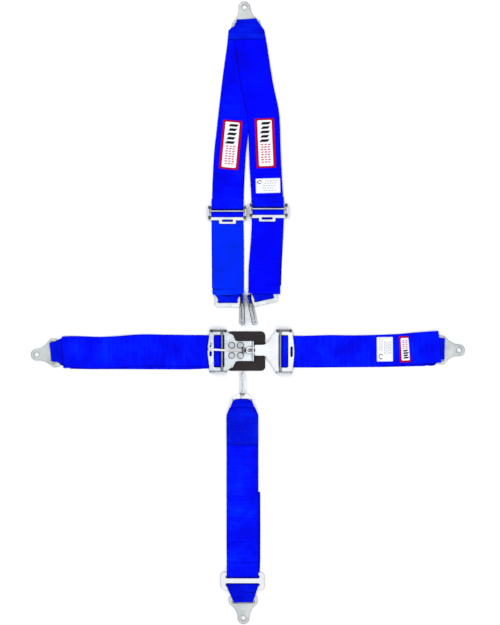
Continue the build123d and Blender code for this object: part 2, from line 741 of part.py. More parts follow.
for name, piece in PIECES.items():
    piece.part.label = name
    export_step(piece.part, f"parts/{name}.step")
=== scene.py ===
import math

import bpy
import numpy as np
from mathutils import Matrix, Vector


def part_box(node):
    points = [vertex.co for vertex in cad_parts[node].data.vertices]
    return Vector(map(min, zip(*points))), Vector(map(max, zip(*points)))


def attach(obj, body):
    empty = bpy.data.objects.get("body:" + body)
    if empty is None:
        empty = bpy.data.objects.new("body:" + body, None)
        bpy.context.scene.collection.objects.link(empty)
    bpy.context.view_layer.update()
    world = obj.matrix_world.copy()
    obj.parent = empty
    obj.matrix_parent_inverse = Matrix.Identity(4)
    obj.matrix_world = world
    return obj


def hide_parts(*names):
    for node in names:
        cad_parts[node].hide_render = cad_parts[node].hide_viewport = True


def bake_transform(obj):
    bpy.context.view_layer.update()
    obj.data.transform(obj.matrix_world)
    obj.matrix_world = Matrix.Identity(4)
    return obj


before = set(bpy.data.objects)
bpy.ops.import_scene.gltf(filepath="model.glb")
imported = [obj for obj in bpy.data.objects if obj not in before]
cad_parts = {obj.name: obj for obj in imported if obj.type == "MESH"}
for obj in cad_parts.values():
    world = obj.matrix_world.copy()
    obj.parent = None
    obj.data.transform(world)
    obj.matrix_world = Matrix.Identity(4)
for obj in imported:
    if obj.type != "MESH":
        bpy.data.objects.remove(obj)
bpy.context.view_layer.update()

# Lengths are in millimetres up to the mesh, which is in metres.
MM = 0.001

# The webbing: width, half of it, thickness, pitch of its cross ribs and of its yarns
WEB = 76.2
HALF = WEB / 2
WEB_T = 1.5
RIB = 2.4
YARN = 1.3
RIB_DEPTH = 0.13
ROWS_PER_RIB = 3
STEP = RIB / ROWS_PER_RIB
GROOVES = (4.2, 9.2)  # in from each edge
GROOVE_DEPTH = 0.1
RISE = 1.1  # height of the waves of a strap that lies loose

# How far the corners of a strap's plan, width, height, folds and humps are rounded
PLAN_SOFT, WIDTH_SOFT, HEIGHT_SOFT, FOLD_SOFT, HUMP_SOFT = 14.0, 5.0, 1.6, 1.3, 1.2

# Places in plan that several pieces share
LEFT_ADJUSTER = (-49.6, 238.7)
RIGHT_ADJUSTER = (49.6, 244.1)
CROTCH_X = -13.2
SHOULDER_BOLT = (-8.4, 732.4)
SHOULDER_TURN = -84.0


def low_z(node):
    """Underside of a CAD node in millimetres."""
    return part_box(node)[0].z / MM


# Heights of the middle of the webbing in its three flat layers and one more on top, and the tops of
# the upper three
LAYER_A = low_z("left_lap_strap") + WEB_T / 2
LAYER_B = low_z("left_lap_tail") + WEB_T / 2
LAYER_C = low_z("right_shoulder_strap") + WEB_T / 2
LAYER_D = LAYER_C + 1.9
B_TOP, C_TOP, D_TOP = (layer + WEB_T / 2 for layer in (LAYER_B, LAYER_C, LAYER_D))

# Where fittings hold the webbing flat, at rest or anywhere in their travel: two ends in plan and
# the reach round them
HELD = [
    ((8, -92), (8, -92), 125), ((-450, -95), (-450, -95), 30), ((452, -88), (452, -88), 45),
    ((-49, 100), LEFT_ADJUSTER, 40), ((42, 100), RIGHT_ADJUSTER, 42), ((-48, 45), (-48, 45), 35),
    ((42, 48), (42, 48), 35), ((-3, 680), (-3, 680), 60), ((-13.3, -235), (-13.3, -235), 50),
    ((-13, -643), (-13, -530), 48),
]


# ------------ materials

def new_material(name, color, roughness, metallic=0.0, specular=0.5, sheen=0.0):
    """Principled material. Returns it with its node tree and shader."""
    mat = bpy.data.materials.new(name)
    mat.use_nodes = True
    tree = mat.node_tree
    shader = tree.nodes["Principled BSDF"]
    shader.inputs["Base Color"].default_value = (*color, 1)
    shader.inputs["Roughness"].default_value = roughness
    shader.inputs["Metallic"].default_value = metallic
    shader.inputs["Specular IOR Level"].default_value = specular
    shader.inputs["Sheen Weight"].default_value = sheen
    return mat, tree, shader


def node(tree, kind, inputs=(), **settings):
    """Adds a node, sets its properties, and links or sets its inputs by index or name."""
    made = tree.nodes.new(kind)
    for key, value in settings.items():
        setattr(made, key, value)
    for key, value in dict(inputs).items():
        if isinstance(value, bpy.types.NodeSocket):
            tree.links.new(value, made.inputs[key])
        else:
            made.inputs[key].default_value = value
    return made


def math_node(tree, operation, a, b=0.0):
    return node(tree, "ShaderNodeMath", {0: a, 1: b}, operation=operation).outputs[0]


def ramp(tree, factor, stops):
    """Colour ramp from (place, colour) pairs."""
    made = node(tree, "ShaderNodeValToRGB", {0: factor})
    elements = made.color_ramp.elements
    for i, (place, color) in enumerate(stops):
        element = elements[i] if i < 2 else elements.new(place)
        element.position = place
        element.color = (*color, 1)
    return made.outputs[0]


def level(tree, value, low, high, start=0.0, stop=1.0):
    """Maps start..stop to low..high."""
    return node(tree, "ShaderNodeMapRange", {0: value, 1: start, 2: stop, 3: low, 4: high}).outputs[0]


def scaled(tree, color, factor):
    return node(tree, "ShaderNodeVectorMath", {0: color, "Scale": factor}, operation="SCALE").outputs[0]


def axes(tree, vector):
    return node(tree, "ShaderNodeSeparateXYZ", {0: vector}).outputs


def object_place(tree):
    return node(tree, "ShaderNodeTexCoord").outputs["Object"]


def shares(tree, a, share_a, b, share_b):
    """Sum of two values, each times its share."""
    first = math_node(tree, "MULTIPLY", a, share_a)
    return math_node(tree, "ADD", first, math_node(tree, "MULTIPLY", b, share_b))


def noise(tree, vector, scale, detail=3.0, roughness=0.55):
    inputs = {"Vector": vector, "Scale": scale, "Detail": detail, "Roughness": roughness}
    return node(tree, "ShaderNodeTexNoise", inputs).outputs[0]


def bump(tree, shader, height, strength, distance, normal=None):
    inputs = {"Height": height, "Strength": strength, "Distance": distance}
    if normal is not None:
        inputs["Normal"] = normal
    made = node(tree, "ShaderNodeBump", inputs)
    tree.links.new(made.outputs[0], shader.inputs["Normal"])


def wave(tree, value, pitch):
    """Sine of a length in metres, from 0 to 1 over each pitch in millimetres."""
    turned = math_node(tree, "MULTIPLY", value, 2 * math.pi / (pitch * MM))
    half = math_node(tree, "MULTIPLY", math_node(tree, "SINE", turned), 0.5)
    return math_node(tree, "ADD", half, 0.5)


def painted_crease_shade(tree, color, reach, darkest):
    """Painted shade: colour darkened where other surfaces come close, as in folds, under edges and round
    fittings.
    """
    near = node(tree, "ShaderNodeAmbientOcclusion", {"Distance": reach * MM}, samples=8).outputs["AO"]
    return scaled(tree, color, level(tree, near, darkest, 1.0, 0.3, 0.92))


def painted_shade_spots(tree, place, color, shade_spots):
    """Painted shade: colour darkened in soft boxes, given by centre, half sizes in millimetres and
    darkness.
    """
    for centre, half, dark in shade_spots:
        move = {"Vector": place, "Location": [-c / h for c, h in zip(centre, half)],
                "Scale": [1 / (h * MM) for h in half]}
        moved = node(tree, "ShaderNodeMapping", move).outputs[0]
        away = node(tree, "ShaderNodeVectorMath", {0: moved}, operation="ABSOLUTE").outputs[0]
        sides = axes(tree, away)
        far = math_node(tree, "MAXIMUM", math_node(tree, "MAXIMUM", sides[0], sides[1]), sides[2])
        color = scaled(tree, color, level(tree, far, dark, 1.0, 0.7, 1.1))
    return color


def woven(name, colors, rib, yarn, roughness=0.78, depth=0.35, blotch=14.0, streaks=0.3, selvedge=0.4,
          sheen_below=None):
    """Woven cloth: cross ribs, lengthwise yarns, picks that vary along it, painted shade along the
    selvedges and in folds, and slow changes of tone. colors run from the shade to the lightest tone, and
    UVs are in metres. Below a given y in millimetres, green is added to the colour as painted sheen."""
    mat, tree, shader = new_material(name, colors[-1], roughness, specular=0.03, sheen=0.05)
    shader.inputs["Sheen Roughness"].default_value = 0.45
    shader.inputs["Sheen Tint"].default_value = (*colors[-1], 1)
    uv = node(tree, "ShaderNodeUVMap", uv_map="UVMap").outputs[0]
    place = object_place(tree)
    across, along = axes(tree, uv)[:2]
    ribs = wave(tree, along, rib)
    yarns = wave(tree, across, yarn)
    fibre = noise(tree, place, 2600, 2.0)
    slow = noise(tree, place, blotch, 4.0)
    stretched = node(tree, "ShaderNodeMapping", {"Vector": uv, "Scale": (16, 210, 1)}).outputs[0]
    picks = noise(tree, stretched, 1.0, 3.0)
    weave = math_node(tree, "MULTIPLY", ribs, level(tree, yarns, 0.72, 1.0))
    weave = math_node(tree, "MULTIPLY", weave, level(tree, fibre, 0.8, 1.15))
    tone = math_node(tree, "ADD", math_node(tree, "MULTIPLY", weave, 0.3), level(tree, slow, -0.35, 1.05))
    tone = math_node(tree, "ADD", tone, level(tree, picks, -streaks, streaks))
    # Painted shade along the selvedges, where the round edges turn away from the light
    outward = math_node(tree, "ABSOLUTE", across)
    painted_edge_shade = level(tree, outward, 0.0, selvedge, (HALF - 2.6) * MM, (HALF - 0.2) * MM)
    tone = math_node(tree, "SUBTRACT", tone, painted_edge_shade)
    stops = [(0.0, colors[0]), (1.0, colors[-1])] + [(0.55, c) for c in colors[1:-1]]
    color = ramp(tree, tone, stops)
    # Painted sheen: green added to the colour below the given y
    if sheen_below is not None:
        y = axes(tree, place)[1]
        amount = level(tree, y, 1.0, 0.0, (sheen_below - 6) * MM, (sheen_below + 6) * MM)
        painted_sheen = scaled(tree, (0.0, 0.017, 0.0), amount)
        color = node(tree, "ShaderNodeVectorMath", {0: color, 1: painted_sheen}, operation="ADD").outputs[0]
    # Painted shade in folds, under edges and round fittings
    color = painted_crease_shade(tree, color, 7.0, 0.16 if selvedge else 0.6)
    tree.links.new(color, shader.inputs["Base Color"])
    tree.links.new(level(tree, slow, roughness - 0.12, roughness + 0.1), shader.inputs["Roughness"])
    bump(tree, shader, weave, depth, 0.0004)
    return mat


def metal(name, color, roughness, grain=(6, 260, 260), marks=0.3, depth=0.12, round_edge=1.3,
          metallic=1.0, shade_spots=()):
    """Plated steel: edges worn round, fine brushed grain, uneven plating, wear marks, and painted shade in
    given spots and where other surfaces come close.
    """
    mat, tree, shader = new_material(name, color, roughness, metallic)
    place = object_place(tree)
    stretched = node(tree, "ShaderNodeMapping", {"Vector": place, "Scale": grain}).outputs[0]
    brushed = noise(tree, stretched, 9.0, 5.0, 0.7)
    cloud = noise(tree, place, 30.0, 3.0)
    scuff = noise(tree, place, 420.0, 3.0, 0.8)
    worn = level(tree, scuff, 0.0, 1.0, 0.62, 0.72)
    tone = shares(tree, cloud, 0.7, brushed, 0.3)
    dull = [c * (1 - marks) for c in color]
    # Painted shade in the given spots and where other surfaces come close
    shaded_plating = painted_shade_spots(tree, place, ramp(tree, tone, [(0.36, dull), (0.6, color)]), shade_spots)
    tree.links.new(painted_crease_shade(tree, shaded_plating, 5.0, 0.12), shader.inputs["Base Color"])
    wear = math_node(tree, "MULTIPLY", worn, 0.14)
    rough = math_node(tree, "ADD", level(tree, brushed, roughness * 0.7, roughness * 1.35), wear)
    tree.links.new(rough, shader.inputs["Roughness"])
    edge = node(tree, "ShaderNodeBevel", {"Radius": round_edge * MM}, samples=6).outputs[0]
    fine = math_node(tree, "ADD", brushed, math_node(tree, "MULTIPLY", worn, -0.6))
    bump(tree, shader, fine, depth, 0.00012, edge)
    return mat


def thread(name, color):
    """Sewing thread with its twist."""
    mat, tree, shader = new_material(name, color, 0.6, specular=0.1)
    place = object_place(tree)
    twist = noise(tree, place, 3200, 2.0)
    shade = [c * 0.62 for c in color]
    tree.links.new(ramp(tree, twist, [(0.3, shade), (0.6, color)]), shader.inputs["Base Color"])
    bump(tree, shader, twist, 0.5, 0.0002)
    return mat


def embroidery(name, color):
    """Satin-stitched embroidery: close parallel threads."""
    mat, tree, shader = new_material(name, color, 0.6, specular=0.06)
    place = object_place(tree)
    x, y = axes(tree, place)[:2]
    slanted = math_node(tree, "ADD", x, math_node(tree, "MULTIPLY", y, 0.35))
    rows = wave(tree, slanted, 0.5)
    cloud = noise(tree, place, 900, 3.0)
    tone = shares(tree, rows, 0.5, cloud, 0.5)
    shade = [c * 0.66 for c in color]
    tree.links.new(ramp(tree, tone, [(0.25, shade), (0.65, color)]), shader.inputs["Base Color"])
    bump(tree, shader, rows, 0.45, 0.0002)
    return mat


def felt(name, color):
    """Dark felt or suede backing."""
    mat, tree, shader = new_material(name, color, 0.92, specular=0.2, sheen=0.2)
    shader.inputs["Sheen Tint"].default_value = (0.35, 0.3, 0.32, 1)
    place = object_place(tree)
    fine = noise(tree, place, 1500, 5.0, 0.75)
    slow = noise(tree, place, 60, 3.0)
    tone = shares(tree, fine, 0.6, slow, 0.4)
    light = [c * 1.9 for c in color]
    tree.links.new(ramp(tree, tone, [(0.3, color), (0.7, light)]), shader.inputs["Base Color"])
    tree.links.new(level(tree, fine, 0.8, 1.0), shader.inputs["Roughness"])
    bump(tree, shader, fine, 0.6, 0.0005)
    return mat


def blue(name, shade, middle, light, sheen_below=None):
    return woven(name, [shade, middle, light], RIB, YARN, sheen_below=sheen_below)


WEBBING = blue("blue_webbing", (0, 0, 0.5), (0, 0.004, 0.88), (0.0001, 0.034, 0.98))
# Painted sheen: a copy with more green in its light tone
WEBBING_MORE_SHEEN = blue("blue_webbing_more_sheen", (0, 0.008, 0.6), (0, 0.024, 0.92), (0.0002, 0.055, 0.98))
# Painted sheen: green added below y 238
WEBBING_LEFT = blue("blue_webbing_left", (0, 0, 0.5), (0, 0.002, 0.88), (0.0001, 0.013, 0.98), 238.0)
# Less painted sheen: a copy with less green in its light tone
WEBBING_LESS_SHEEN = blue("blue_webbing_less_sheen", (0, 0, 0.5), (0, 0.001, 0.88), (0.0001, 0.006, 0.98))
# Painted shade: a darker copy of the webbing for the loops at brackets, links and the slide
WEBBING_PAINTED_SHADE = blue("blue_webbing_painted_shade", (0, 0, 0.34), (0, 0.004, 0.68), (0.0002, 0.026, 0.84))
LABEL_CLOTH = woven("white_label", [(0.78, 0.78, 0.79), (0.97, 0.97, 0.97)], 0.8, 0.7, roughness=0.7,
                    depth=0.25, blotch=40.0, streaks=0.2, selvedge=0.0)
BLUE_THREAD = thread("blue_thread", (0.001, 0.028, 0.62))
DARK_THREAD = thread("dark_thread", (0.03, 0.026, 0.027))
WHITE_THREAD = thread("white_thread", (0.7, 0.7, 0.7))
RED_BORDER = embroidery("red_border", (0.50, 0.0005, 0.022))
BLACK_BARS = embroidery("black_bars", (0.010, 0.010, 0.012))
PINK_LINES = embroidery("pink_lines", (0.72, 0.07, 0.11))
GREY_MARKS = embroidery("grey_marks", (0.08, 0.08, 0.09))
FAINT_MARKS = embroidery("faint_marks", (0.33, 0.33, 0.36))
PAD = felt("pad_felt", (0.018, 0.014, 0.015))
BRACKET_METAL = metal("bracket_zinc", (0.43, 0.45, 0.445), 0.34, (40, 40, 40), depth=0.2, round_edge=2.6)
BRIGHT_METAL = metal("bright_plate", (0.53, 0.55, 0.57), 0.16, depth=0.1)

# Painted shade in soft boxes: rolled rails and their ends on the two buckle plates, the hook in the
# tongue, the edge of the bar and a corner of the left window, cheek corners
RAIL_Y, RAIL_Z, PLATE_Z = -43.2, 13.0, 7.0
PLATE_SHADE_SPOTS = [((x, RAIL_Y, RAIL_Z), (half, 3.4, 9), 0.34) for x, half in ((-70.5, 21.5), (87, 19.5))]
PLATE_SHADE_SPOTS += [((x, RAIL_Y - 1, RAIL_Z), (2.8, 3.8, 9), 0.2) for x in (-86.5, -54, 71, 102)]
PLATE_SHADE_SPOTS += [((7, -89.6, PLATE_Z), (4.5, 3.2, 3), 0.25), ((-88.5, -75, PLATE_Z), (3.0, 3.4, 3), 0.5),
                ((-58, -92, PLATE_Z), (1.6, 36, 3), 0.6)]
CHEEK_SHADE_SPOTS = [((x + side, y + end, 11.5), (3.8, 4.0, 8.5), 0.14)
               for x, y in (LEFT_ADJUSTER, RIGHT_ADJUSTER)
               for side in (-42.2, 42.2) for end in (12.6, -10.8)]
# Painted shade at the stem's twisted root and along the lever and its pivot
STEM_SHADE_SPOTS = [((CROTCH_X, -194.5, 10), (6.5, 3.4, 14), 0.3), ((CROTCH_X, -172, 10), (1.6, 2.2, 14), 0.6)]
LEVER_SHADE_SPOTS = [((-9.5, -88.7, 13), (6.5, 6, 9), 0.14), ((-30, -91.2, 13), (22, 1.2, 9), 0.5)]
LATCH_METAL = metal("latch_plate", (0.52, 0.55, 0.575), 0.17, (6, 60, 60), marks=0.36, round_edge=2.4,
                    shade_spots=PLATE_SHADE_SPOTS)
LINK_METAL = metal("link_plate", (0.57, 0.58, 0.6), 0.17, (6, 60, 60), marks=0.16, depth=0.1,
                   round_edge=2.4, shade_spots=PLATE_SHADE_SPOTS)
CHEEK_METAL = metal("adjuster_plate", (0.53, 0.55, 0.57), 0.18, depth=0.1, shade_spots=CHEEK_SHADE_SPOTS)
PALE_PLATE = metal("pale_plate", (0.62, 0.62, 0.64), 0.4, marks=0.06, depth=0.1, round_edge=0.6,
                   metallic=0.7)
STEM_METAL = metal("stem_plate", (0.78, 0.78, 0.8), 0.4, (6, 200, 200), marks=0.06, depth=0.06,
                   round_edge=0.5, metallic=0.45, shade_spots=STEM_SHADE_SPOTS)
RIVET_METAL = metal("rivet_plate", (0.42, 0.43, 0.45), 0.2, (60, 60, 60), depth=0.04, round_edge=2.4)
LEVER_METAL = metal("lever_plate", (0.57, 0.56, 0.55), 0.14, (6, 200, 200), marks=0.15, depth=0.1,
                    round_edge=1.1, shade_spots=LEVER_SHADE_SPOTS)
BAR_METAL = metal("bar_plate", (0.26, 0.27, 0.30), 0.3, (60, 6, 60), 0.3)


# ------------ webbing

def rise(x, y):
    """How far flat webbing stands off what it lies on: long low waves that die out at the metal."""
    waves = 0.5 + 0.25 * np.sin(x / 29 + 1.3 * np.sin(y / 61))
    waves += 0.25 * np.cos(y / 33 + 0.9 * np.sin(x / 57))
    hold = np.ones_like(x)
    for (ax, ay), (bx, by), reach in HELD:
        long = (bx - ax) ** 2 + (by - ay) ** 2
        t = np.clip(((x - ax) * (bx - ax) + (y - ay) * (by - ay)) / max(long, 1e-9), 0, 1)
        away = np.clip((np.hypot(x - ax - t * (bx - ax), y - ay - t * (by - ay)) - reach) / 60, 0, 1)
        hold *= away * away * (3 - 2 * away)
    return RISE * waves * hold


def softened(rows, sigma, columns):
    """Rounds the corners of evenly spaced rows with a Gaussian, ends kept."""
    reach = min(max(1, int(3 * sigma / STEP)), len(rows) - 1)
    kernel = np.exp(-0.5 * (np.arange(-reach, reach + 1) * STEP / sigma) ** 2)
    kernel /= kernel.sum()
    out = rows.copy()
    for k in columns:
        v = rows[:, k]
        head = 2 * v[0] - v[reach:0:-1]
        tail = 2 * v[-1] - v[-2:-reach - 2:-1]
        out[:, k] = np.convolve(np.concatenate([head, v, tail]), kernel, "valid")
    return out


def evenly(rows, columns=3):
    """The same polyline with a row every STEP of its length in the first columns."""
    gaps = np.linalg.norm(np.diff(rows[:, :columns], axis=0), axis=1)
    along = np.concatenate([[0], np.cumsum(gaps)])
    count = max(6, round(along[-1] / STEP))
    at = np.linspace(0, along[-1], count + 1)
    return np.stack([np.interp(at, along, rows[:, k]) for k in range(rows.shape[1])], axis=1)


def flat_line(plan, profile, axis):
    """Rows x, y, z, width for a strap from its plan points (x, y) or (x, y, width) and its height, one
    number or a profile over x (axis 0) or y (axis 1)."""
    plan = np.array([(*point, WEB)[:3] for point in plan], float)
    if isinstance(profile, float):
        profile = [(0, profile)]
    rows = evenly(np.insert(plan, 2, 0.0, axis=1), 2)
    rows = softened(rows, PLAN_SOFT, (0, 1))
    rows = softened(rows, WIDTH_SOFT, (3,))
    knots = np.array(sorted(profile), float)
    rows[:, 2] = np.interp(rows[:, axis], knots[:, 0], knots[:, 1])
    return softened(rows, HEIGHT_SOFT, (2,))


def along_turn(origin, turn, u, shift=0.0):
    """Plan point at u from origin in the direction turn, and shift to its right."""
    a, b = math.radians(turn), math.radians(turn - 90)
    x = origin[0] + u * math.cos(a) + shift * math.cos(b)
    return x, origin[1] + u * math.sin(a) + shift * math.sin(b)


def wrapped_line(origin, turn, points):
    """Rows x, y, z, width, sideways direction and arch from points (u, z, width, shift, twist, arch). u
    runs from origin at turn degrees, shift is to the side, twist turns the webbing's sideways direction
    and arch is how far its edges stand further along u than its middle."""
    rows = []
    for u, z, width, *more in points:
        shift, twist, arch = (*more, 0.0, 0.0, 0.0)[:3]
        rows.append((*along_turn(origin, turn, u, shift), z, width, turn - 90 + twist, arch))
    return softened(evenly(np.array(rows, float)), FOLD_SOFT, range(6))


def fold_points(heights, widths):
    """Points for wrapped_line from (u, z) in order along the webbing and (u, width, shift, twist) in
    order of u."""
    table = np.array(widths, float)
    return [(u, z, *[np.interp(u, table[:, 0], table[:, k]) for k in (1, 2, 3)]) for u, z in heights]


def columns_across():
    """Places across the webbing from -1 to 1: a round selvedge, two woven-in grooves, then plain cloth.
    Also returns the place where the selvedge begins."""
    edge = 1 - WEB_T / 2 / HALF
    side = [1.0, 1 - (1 - edge) * 0.3, edge]
    side += [1 - (groove + step) / HALF for groove in GROOVES for step in (-1, 0, 1)]
    side += [0.55, 0.35, 0.17]
    return np.array([-s for s in side] + [0.0] + side[::-1]), edge


def place_on(obj, bodies, bend=None):
    """Attaches a piece to its body. Given a bend, it only bakes the piece's transform into its mesh; the
    bodies and the bend's start and end are not used.
    """
    if bend is None:
        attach(obj, bodies)
    else:
        start, end = ([c * MM for c in point] for point in bend)
        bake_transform(obj)
        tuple(start)
        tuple(end)
    return obj


def add_mesh(name, verts, faces, mat, uv=None, smooth=True):
    """Object from points in metres; uv is one pair for each point."""
    mesh = bpy.data.meshes.new(name)
    mesh.from_pydata([tuple(v) for v in verts], [], [tuple(int(i) for i in f) for f in faces])
    if uv is not None:
        layer = mesh.uv_layers.new(name="UVMap")
        loops = np.zeros(len(mesh.loops), np.int32)
        mesh.loops.foreach_get("vertex_index", loops)
        layer.data.foreach_set("uv", np.asarray(uv, np.float32)[loops].ravel())
    if smooth:
        mesh.polygons.foreach_set("use_smooth", [True] * len(mesh.polygons))
    mesh.materials.append(mat)
    obj = bpy.data.objects.new(name, mesh)
    bpy.context.scene.collection.objects.link(obj)
    return obj


def webbing(name, rows, waves, ends, mat):
    """A length of woven webbing along rows of x, y, z, width and, where it folds over, its sideways
    direction in degrees and its arch. ends give how the cut ends bow, as functions of the place across
    from -1 to 1."""
    centre, width = rows[:, :3], rows[:, 3]
    count = len(rows)
    tangent = np.gradient(centre, axis=0)
    tangent /= np.linalg.norm(tangent, axis=1)[:, None]
    if rows.shape[1] == 4:
        sideways = np.stack([tangent[:, 1], -tangent[:, 0], np.zeros(count)], axis=1)
        sideways /= np.linalg.norm(sideways, axis=1)[:, None]
    else:
        angle = np.radians(rows[:, 4])
        sideways = np.stack([np.cos(angle), np.sin(angle), np.zeros(count)], axis=1)
    up = np.cross(sideways, tangent)
    up /= np.linalg.norm(up, axis=1)[:, None]
    places, edge = columns_across()
    far = np.clip((np.abs(places) - edge) / (1 - edge), 0, 1)
    round_edge = np.sqrt(np.clip(1 - far * far, 0, 1))
    in_line = np.round([1 - groove / HALF for groove in GROOVES], 5)
    groove = np.isin(np.round(np.abs(places), 5), in_line) * GROOVE_DEPTH
    gathered = np.clip((WEB - width) / 30, 0, 1)[:, None]
    bunch = np.clip((np.abs(places) - 0.45) / 0.45, 0, 1)[None, :] * gathered * 0.55
    between_ribs = (np.arange(count) % ROWS_PER_RIB == 0)[:, None] * RIB_DEPTH
    half_t = (WEB_T / 2 - between_ribs * (np.abs(places) < edge) - groove) * round_edge
    along = np.concatenate([[0], np.cumsum(np.linalg.norm(np.diff(centre, axis=0), axis=1))])
    shift = np.zeros((count, len(places)))
    for end, bow in zip((0, -1), ends):
        if bow is not None:
            gap = along if end == 0 else along[-1] - along
            fade = np.clip(1 - gap / 30, 0, 1)[:, None] ** 2
            shift += fade * bow(places)[None, :]
    mid = centre[:, None, :] + sideways[:, None, :] * (places[None, :] * width[:, None] / 2)[:, :, None]
    mid = mid + tangent[:, None, :] * shift[:, :, None]
    if rows.shape[1] > 4:
        ahead = np.stack([-sideways[:, 1], sideways[:, 0], np.zeros(count)], axis=1)
        mid = mid + ahead[:, None, :] * (rows[:, 5, None] * np.abs(places)[None, :] ** 2.5)[:, :, None]
    if waves:
        mid[:, :, 2] += rise(mid[:, :, 0], mid[:, :, 1])
    top = mid + up[:, None, :] * (half_t + bunch * round_edge)[:, :, None]
    under = mid - up[:, None, :] * half_t[:, :, None]
    ring = np.concatenate([top, under[:, -2:0:-1]], axis=1)
    across = np.concatenate([places, places[-2:0:-1]]) * WEB / 2
    n = ring.shape[1]
    uv = np.stack([np.tile(across, count), np.repeat(along, n)], axis=1) * MM
    i, j = np.meshgrid(np.arange(count - 1), np.arange(n), indexing="ij")
    a, b = i * n + j, i * n + (j + 1) % n
    faces = np.stack([a, b, b + n, a + n], axis=-1).reshape(-1, 4).tolist()
    faces.append(list(range(n))[::-1])
    faces.append([(count - 1) * n + k for k in range(n)])
    return add_mesh(name, ring.reshape(-1, 3) * MM, [f[::-1] for f in faces], mat, uv)


def bowed(left, middle, right):
    """How far a cut end stands out at the left edge, the middle and the right edge."""
    out = [left, (left + middle) / 2, middle, (middle + right) / 2, right]
    return lambda place: np.interp(place, [-1, -0.5, 0, 0.5, 1], out)


def strap(name, rows, bodies, replaced=None, bend=None, waves=True, ends=(None, None),
          mat=WEBBING):
    """Webbing made and handed to place_on, and the CAD node it replaces hidden; its length and mean width
    are worked out but not used.
    """
    obj = place_on(webbing(name, rows, waves, ends, mat), bodies, bend)
    if replaced:
        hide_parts(replaced)
    length = float(np.linalg.norm(np.diff(rows[:, :3], axis=0), axis=1).sum())
    float(np.mean(rows[:, 3]))


# ------------ stitching and labels

def stitches(name, runs, bodies, mat=BLUE_THREAD, pitch=3.4, size=(2.5, 0.8, 0.5),
             bend=None):
    """Raised stitches along runs of points (x, y, z), z being the cloth's surface there."""
    around, stations = 6, 5
    angles = np.arange(around) / around * 2 * math.pi
    along = np.linspace(-1, 1, stations)
    swell = np.sqrt(np.clip(1 - (along * 0.97) ** 2, 0, 1))
    template = [(u, s * math.cos(t), s * math.sin(t)) for u, s in zip(along, swell) for t in angles]
    template = np.array(template) * (np.array(size) / 2)
    verts, faces, base = [], [], 0
    for run in runs:
        run = np.array(run, float)
        gaps = np.linalg.norm(np.diff(run, axis=0), axis=1)
        at = np.concatenate([[0], np.cumsum(gaps)])
        count = max(1, int(at[-1] / pitch))
        for k in range(count):
            s = (k + 0.5) * at[-1] / count
            before, here, after = (np.array([np.interp(p, at, run[:, c]) for c in range(3)])
                                   for p in (s - 0.5, s, s + 0.5))
            ahead = (after - before) / np.linalg.norm(after - before)
            side = np.cross([0, 0, 1], ahead)
            side /= np.linalg.norm(side)
            up = np.cross(ahead, side)
            points = here + template @ np.array([ahead, side, up])
            verts.append(points)
            for r in range(stations - 1):
                for c in range(around):
                    a, b = base + r * around + c, base + r * around + (c + 1) % around
                    faces.append((a, b, b + around, a + around))
            faces.append([base + c for c in range(around)][::-1])
            faces.append([base + (stations - 1) * around + c for c in range(around)])
            base += len(template)
    points = np.concatenate(verts)
    points[:, 2] += rise(points[:, 0], points[:, 1])
    place_on(add_mesh(name, points * MM, faces, mat), bodies, bend)


def rounded_outline(width, height, corner, per_corner=6, per_side=8):
    """Points round a rounded rectangle about the origin, evenly placed so that two of them match."""
    points = []
    corners = [(1, 1, 0), (-1, 1, 90), (-1, -1, 180), (1, -1, 270)]
    for k, (sx, sy, start) in enumerate(corners):
        cx, cy = sx * (width / 2 - corner), sy * (height / 2 - corner)
        arc = [math.radians(start + 90 * i / per_corner) for i in range(per_corner + 1)]
        points += [(cx + corner * math.cos(t), cy + corner * math.sin(t)) for t in arc]
        nx, ny, turn = corners[(k + 1) % 4]
        t = math.radians(turn)
        x, y = points[-1]
        end_x = nx * (width / 2 - corner) + corner * math.cos(t)
        end_y = ny * (height / 2 - corner) + corner * math.sin(t)
        points += [(x + (end_x - x) * i / per_side, y + (end_y - y) * i / per_side)
                   for i in range(1, per_side)]
    return np.array(points)


def placed(centre, turn):
    """Maps a label's own x and y to plan coordinates."""
    c, s = math.cos(math.radians(turn)), math.sin(math.radians(turn))

    def place(points):
        x, y = points[:, 0], points[:, 1]
        return np.stack([centre[0] + x * c - y * s, centre[1] + x * s + y * c], axis=1)

    return place


def islands(outlines, place, base, height, rings=(1.0, 0.97, 0.9, 0.6, 0.3), edge=0.35):
    """Low raised shapes inside outlines. Returns points in millimetres and faces."""
    verts, faces, offset = [], [], 0
    for outline in outlines:
        centre = outline.mean(axis=0)
        n = len(outline)
        layers = [np.column_stack([place(outline), np.full(n, base)])]
        for scale in rings:
            z = base + height * (edge if scale == 1.0 else 1.0)
            layers.append(np.column_stack([place(centre + (outline - centre) * scale), np.full(n, z)]))
        block = np.concatenate(layers + [np.column_stack([place(centre[None, :]), [base + height]])])
        verts.append(block)
        for r in range(len(layers) - 1):
            for k in range(n):
                a, b = offset + r * n + k, offset + r * n + (k + 1) % n
                faces.append((a, b, b + n, a + n))
        last, tip = offset + (len(layers) - 1) * n, offset + len(layers) * n
        faces += [(last + k, last + (k + 1) % n, tip) for k in range(n)]
        faces.append([offset + k for k in range(n)][::-1])
        offset += len(block)
    points = np.concatenate(verts)
    points[:, 2] += rise(points[:, 0], points[:, 1])
    return points, faces


def island_piece(name, outlines, place, base, height, mat, slot, body, **kwargs):
    points, faces = islands(outlines, place, base, height, **kwargs)
    plan = points[:, :2] * MM
    return place_on(add_mesh(name, points * MM, faces, mat, plan), body)


PATCH_ENDS = 5.0
BORDER_UP = 0.9


